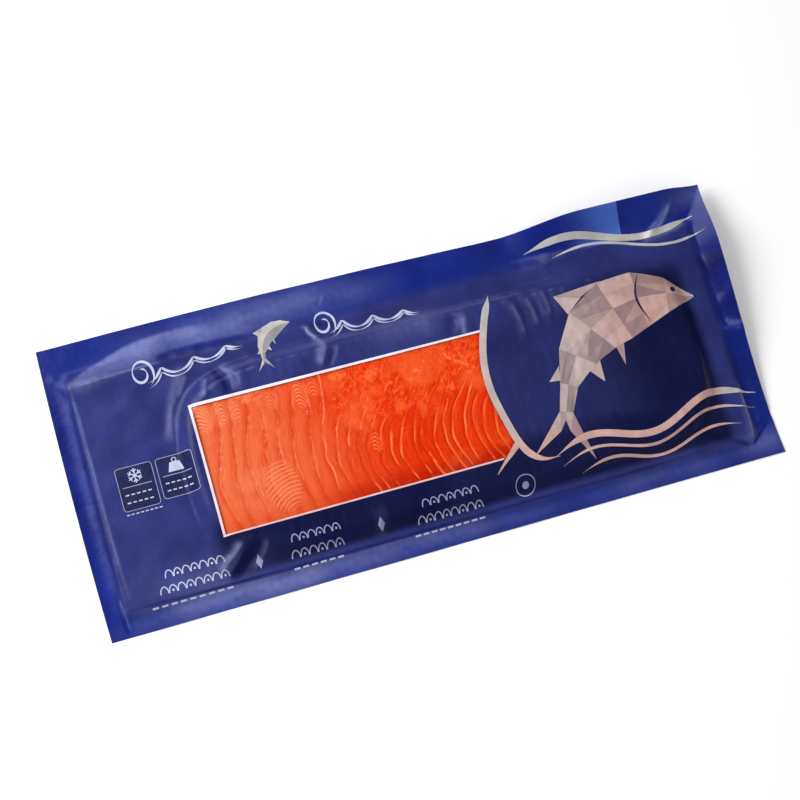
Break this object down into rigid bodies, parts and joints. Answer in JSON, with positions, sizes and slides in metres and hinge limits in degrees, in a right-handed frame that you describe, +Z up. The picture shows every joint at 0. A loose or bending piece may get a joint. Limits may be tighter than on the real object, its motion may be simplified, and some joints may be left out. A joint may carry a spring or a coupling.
{
  "type": "pack of smoked salmon",
  "caption": "Flat printed vacuum pouch of sliced smoked salmon on a stiff card, with a clear window over the slices, lying on its back.",
  "frame": {"origin": "centre of the pouch's outline, on the surface that it lies on", "axes": "+X along the pouch towards its unwindowed end, +Y across it, +Z up out of the printed face"},
  "size_m": [0.6, 0.252, 0.0259],
  "materials": {
    "printed_film": "glossy plastic film printed in translucent blue with silver figures",
    "clear_film": "clear glossy plastic film",
    "salmon": "moist smoked salmon, orange with pale lines of fat"
  },
  "bodies": {
    "root": {"pouch": "printed_film", "window_film": "clear_film", "salmon_slice_01": "salmon", "salmon_slice_02": "salmon", "salmon_slice_03": "salmon", "salmon_slice_04": "salmon", "salmon_slice_05": "salmon", "salmon_slice_06": "salmon", "salmon_slice_07": "salmon", "salmon_slice_08": "salmon", "salmon_slice_09": "salmon", "salmon_slice_10": "salmon", "salmon_slice_11": "salmon", "salmon_slice_12": "salmon", "salmon_slice_13": "salmon", "salmon_slice_14": "salmon", "salmon_slice_15": "salmon", "salmon_slice_16": "salmon", "salmon_slice_17": "salmon", "salmon_slice_18": "salmon", "salmon_slice_19": "salmon", "salmon_slice_20": "salmon", "salmon_slice_21": "salmon", "salmon_slice_22": "salmon", "salmon_slice_23": "salmon", "salmon_slice_24": "salmon", "salmon_slice_25": "salmon"}
  },
  "joints": []
}
